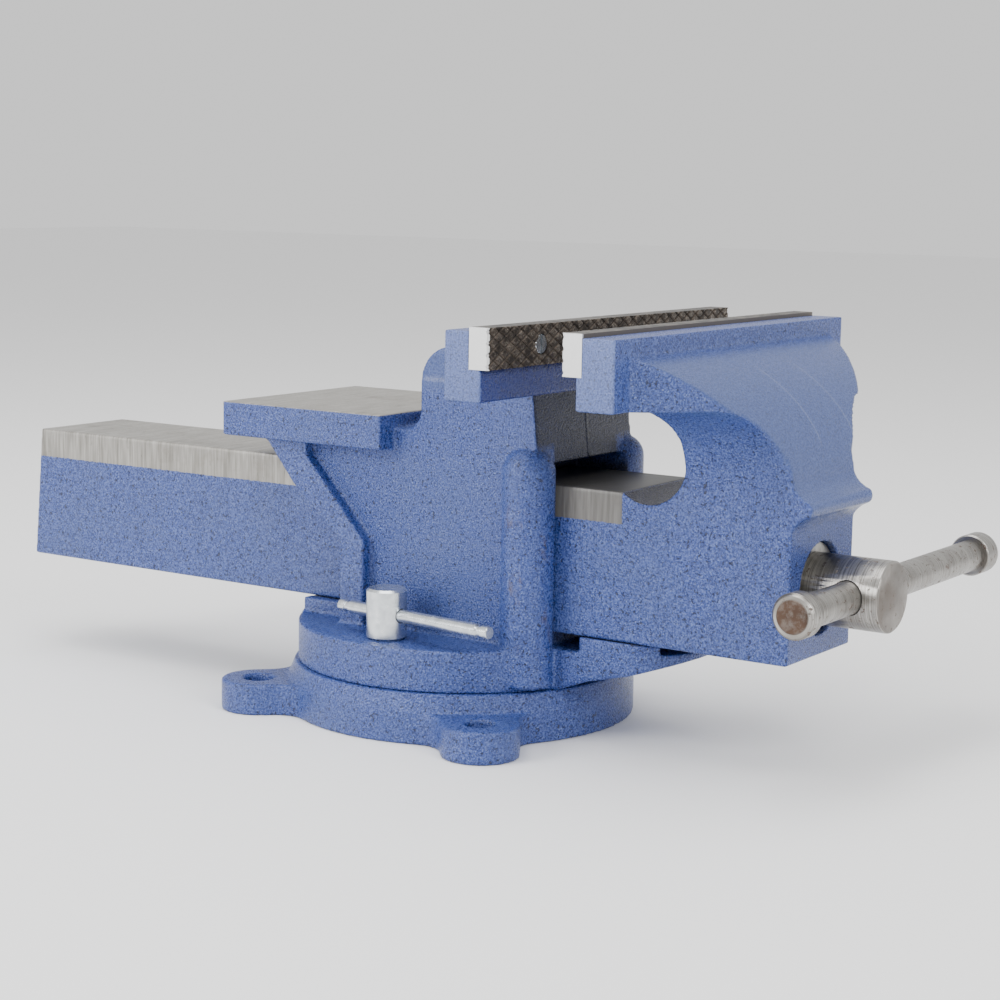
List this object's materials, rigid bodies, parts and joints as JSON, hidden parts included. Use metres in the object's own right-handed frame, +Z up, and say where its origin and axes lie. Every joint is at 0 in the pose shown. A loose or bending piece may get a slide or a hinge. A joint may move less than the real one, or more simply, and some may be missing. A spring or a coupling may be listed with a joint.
{
  "type": "bench vise",
  "caption": "Swivel-base bench vise with knurled jaw inserts, a rear anvil and a square slide driven by a screw with a sliding bar handle.",
  "frame": {"origin": "swivel axis at the underside of the base ring", "axes": "+Z up, X along the jaws, -Y towards the spindle handle, +Y towards the anvil"},
  "size_m": [0.228, 0.4625, 0.1834],
  "materials": {
    "casting": "blue hammertone enamel on cast iron; machined faces bare grey",
    "bare_iron": "bare cast iron, machined",
    "jaw_steel": "hardened cross-hatched steel, brown-black with ground bright ends",
    "turned_steel": "turned steel with light rust on the end faces",
    "spring_steel": "dark oiled spring steel",
    "zinc": "bright zinc plated steel"
  },
  "bodies": {
    "base": {"base_ring": "casting"},
    "body": {"body_casting": "casting", "fixed_jaw_insert": "jaw_steel", "fixed_insert_screw_left": "zinc", "fixed_insert_screw_right": "zinc", "spindle_nut": "bare_iron", "nut_bolt": "zinc", "swivel_clamp_plate": "bare_iron"},
    "moving_jaw": {"moving_jaw_casting": "casting", "moving_jaw_insert": "jaw_steel", "moving_insert_screw_left": "zinc", "moving_insert_screw_right": "zinc"},
    "spindle": {"spindle": "turned_steel", "thrust_washer": "turned_steel", "spindle_spring": "spring_steel", "spring_washer": "turned_steel", "cotter_pin": "spring_steel"},
    "handle": {"handle_bar": "turned_steel", "handle_knob_near": "turned_steel", "handle_knob_far": "turned_steel"},
    "lock_left": {"lock_screw_left": "zinc"},
    "lock_left_bar": {"lock_bar_left": "zinc"},
    "lock_right": {"lock_screw_right": "zinc"},
    "lock_right_bar": {"lock_bar_right": "zinc"}
  },
  "joints": [
    {"name": "base_swivel", "type": "hinge", "parent": "base", "child": "body", "pos_m": [0, 0, 0.022], "axis": [0, 0, 1], "continuous": true},
    {"name": "jaw_slide", "type": "slide", "parent": "body", "child": "moving_jaw", "axis": [0, 1, 0], "range_m": [-0.1661, 0.0341]},
    {"name": "spindle_turn", "type": "hinge", "parent": "moving_jaw", "child": "spindle", "pos_m": [0, -0.2, 0.0759], "axis": [0, 1, 0], "range_deg": [-11952, 2448]},
    {"name": "handle_slide", "type": "slide", "parent": "spindle", "child": "handle", "axis": [1, 0, 0], "range_m": [-0.0997, 0.0347]},
    {"name": "left_lock_turn", "type": "hinge", "parent": "body", "child": "lock_left", "pos_m": [-0.058, 0, 0.04], "axis": [0, 0, 1], "range_deg": [-7.5, 11]},
    {"name": "left_lock_bar_slide", "type": "slide", "parent": "lock_left", "child": "lock_left_bar", "axis": [-0.1097, -0.994, 0], "range_m": [-0.048, 0.016]},
    {"name": "right_lock_turn", "type": "hinge", "parent": "body", "child": "lock_right", "pos_m": [0.058, 0, 0.04], "axis": [0, 0, 1], "range_deg": [-11, 7.5]},
    {"name": "right_lock_bar_slide", "type": "slide", "parent": "lock_right", "child": "lock_right_bar", "axis": [0.1097, -0.994, 0], "range_m": [-0.048, 0.016]}
  ],
  "couplings": [
    {"joint": "jaw_slide", "follows": "spindle_turn", "m_per_rad": 0.00079577}
  ]
}
